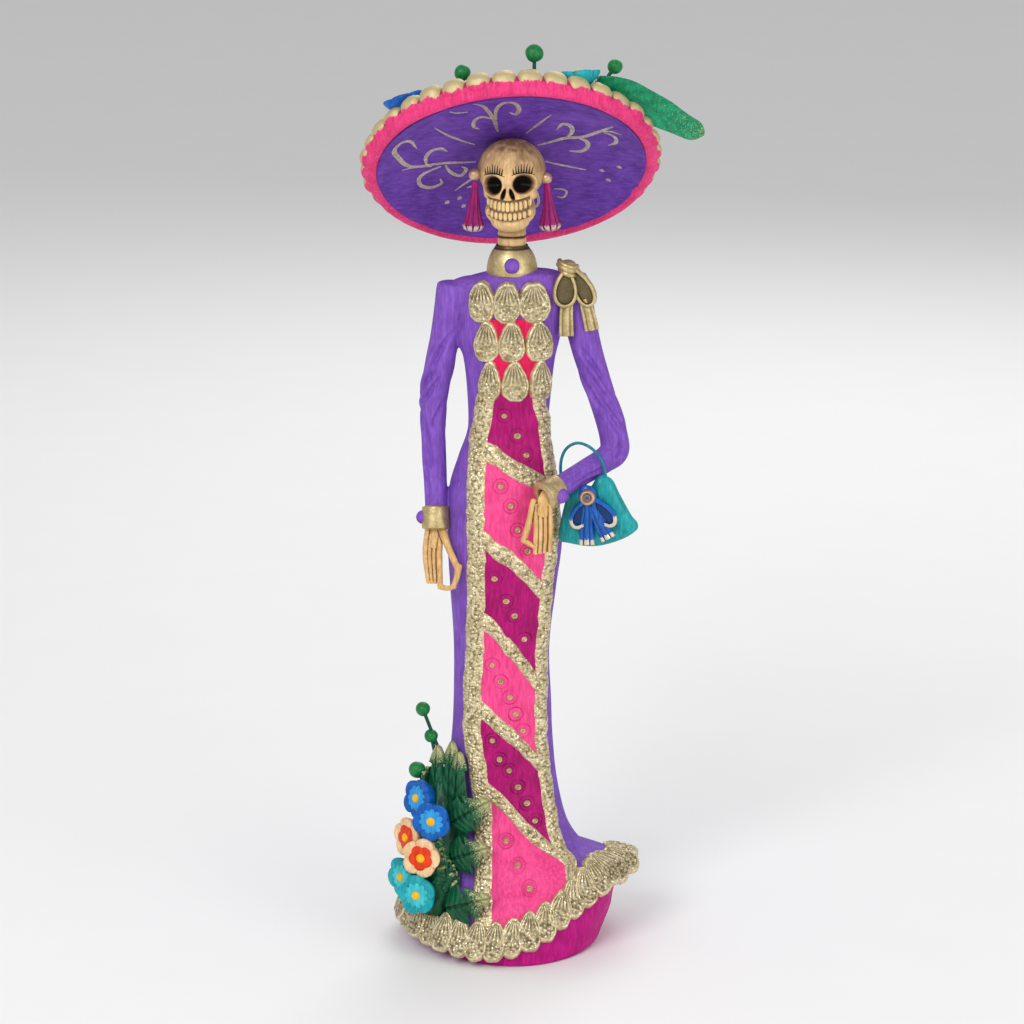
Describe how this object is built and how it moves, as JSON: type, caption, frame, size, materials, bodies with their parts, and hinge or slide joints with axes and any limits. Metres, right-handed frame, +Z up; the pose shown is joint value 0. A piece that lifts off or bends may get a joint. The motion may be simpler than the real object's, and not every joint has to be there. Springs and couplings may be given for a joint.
{
  "type": "papier-mache catrina figure",
  "caption": "Standing skeleton lady figure in a long flared gown with a wide tilted hat, a head that turns on a peg, flowers at the foot and a purse that swings on the forearm.",
  "frame": {"origin": "centre of the flat underside of the foot, on the plane it stands on", "axes": "+Z up along the figure, the figure faces -Y, +X to the viewer's right when facing it"},
  "size_m": [0.1472, 0.1075, 0.3974],
  "materials": {
    "violet_paint": "matte acrylic paint on papier-mache",
    "magenta_paint": "matte acrylic paint on papier-mache",
    "pink_paint": "matte acrylic paint on papier-mache",
    "gold_paint": "metallic paint over relief on papier-mache",
    "purple_paint": "matte acrylic paint on papier-mache",
    "bone_paint": "ivory paint with a brown wash",
    "teal_paint": "satin acrylic paint on paste",
    "blue_paint": "satin acrylic paint on paste",
    "turquoise_paint": "satin acrylic paint on paste",
    "sky_paint": "satin acrylic paint on paste",
    "orange_paint": "satin acrylic paint on paste",
    "cream_paint": "satin acrylic paint on paste",
    "yellow_paint": "satin acrylic paint on paste",
    "green_paint": "satin acrylic paint on paste",
    "copper_paint": "metallic paint",
    "steel_wire": "drawn wire",
    "painted_wire": "painted wire",
    "teal_wire": "painted wire",
    "board": "pressed board",
    "wood_rod": "plain dowel"
  },
  "bodies": {
    "figure": {"base_board": "board", "spine_rod": "wood_rod", "neck_socket": "wood_rod", "arm_wires": "steel_wire", "underskirt": "magenta_paint", "gown_skirt": "violet_paint", "bodice": "violet_paint", "collar": "gold_paint", "braid_left": "gold_paint", "braid_right": "gold_paint", "braid_diagonals": "gold_paint", "magenta_panels": "magenta_paint", "pink_panels": "pink_paint", "bodice_panel": "pink_paint", "bodice_petals": "gold_paint", "panel_studs": "gold_paint", "hem_petals": "gold_paint", "right_sleeve": "violet_paint", "left_sleeve": "violet_paint", "left_forearm": "violet_paint", "right_cuff": "gold_paint", "left_cuff": "gold_paint", "right_hand": "bone_paint", "left_hand": "bone_paint", "gown_buttons": "violet_paint", "shoulder_bow_knot": "gold_paint", "shoulder_bow_loops": "gold_paint", "shoulder_bow_tails": "gold_paint", "leafy_bed": "green_paint", "side_leaves": "green_paint", "tall_leaves": "green_paint", "blue_flower_cups": "blue_paint", "cream_flower_cups": "cream_paint", "turquoise_flower_cups": "turquoise_paint", "sky_blue_flower_faces": "sky_paint", "orange_flower_faces": "orange_paint", "aqua_flower_faces": "turquoise_paint", "flower_centres": "yellow_paint", "foot_stem_wires": "painted_wire", "foot_stem_balls": "green_paint"},
    "neck": {"neck_post": "bone_paint"},
    "head": {"skull": "bone_paint", "hat_brim": "purple_paint", "hat_crown": "purple_paint", "hat_rim": "pink_paint", "hat_scallops": "gold_paint", "earring_beads": "copper_paint", "earring_tassels": "magenta_paint", "hat_flower_cups": "blue_paint", "hat_flower_faces": "sky_paint", "hat_flower_centres": "yellow_paint", "hat_leaves": "green_paint", "hat_stem_wires": "painted_wire", "hat_stem_balls": "green_paint"},
    "purse": {"purse_handle": "teal_wire", "purse_bag": "teal_paint", "purse_brooch": "gold_paint", "purse_bow_loops": "blue_paint", "purse_bow_tails": "blue_paint"}
  },
  "joints": [
    {"name": "head_lift", "type": "slide", "parent": "figure", "child": "neck", "axis": [0, 0, 1], "range_m": [0, 0.02]},
    {"name": "head_turn", "type": "hinge", "parent": "neck", "child": "head", "pos_m": [0.004, 0, 0.318], "axis": [0, 0, 1], "continuous": true},
    {"name": "purse_swing", "type": "hinge", "parent": "figure", "child": "purse", "pos_m": [0.0488, -0.0006, 0.2192], "axis": [0.7429, 0.5965, 0.3037], "range_deg": [-60, 0]}
  ]
}
